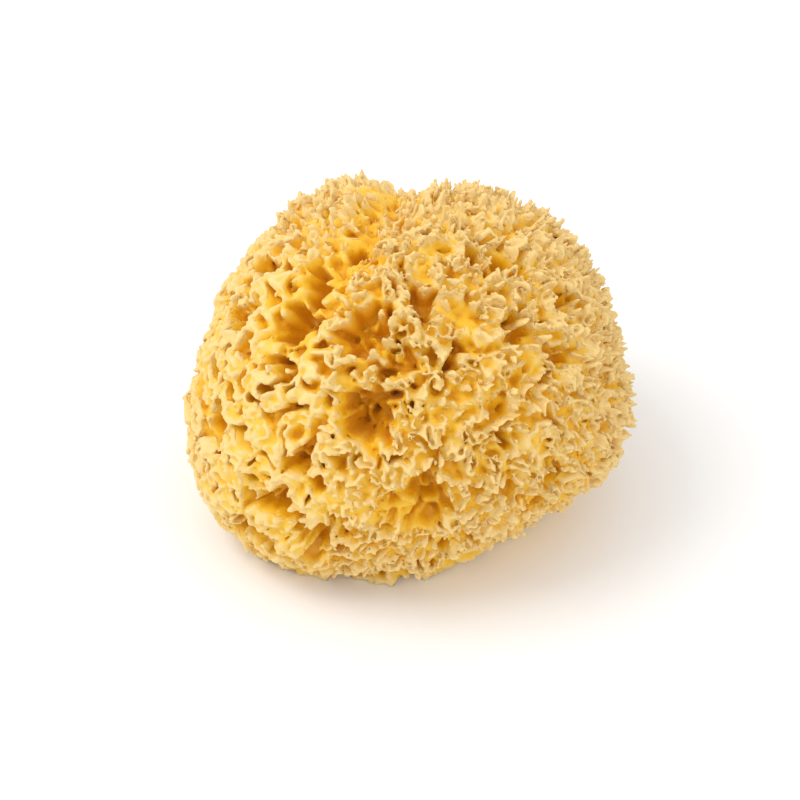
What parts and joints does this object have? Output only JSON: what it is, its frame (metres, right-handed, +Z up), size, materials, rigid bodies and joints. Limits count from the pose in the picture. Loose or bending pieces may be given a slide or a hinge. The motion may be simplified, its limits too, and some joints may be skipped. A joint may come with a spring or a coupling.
{
  "type": "sea sponge",
  "caption": "Natural bath sponge: a lobed dome of soft porous skeleton with open channel mouths over its top and sides, trimmed flat underneath.",
  "frame": {"origin": "middle of the flat base, under the centre of the sponge's box", "axes": "+Z up from the base, +X along the longest side, -Y towards the side with the widest osculum"},
  "size_m": [0.1352, 0.1258, 0.1043],
  "materials": {
    "spongin_fibre": "matt, pale yellow at the crests and amber in the channels"
  },
  "bodies": {
    "root": {"sponge": "spongin_fibre"}
  },
  "joints": []
}
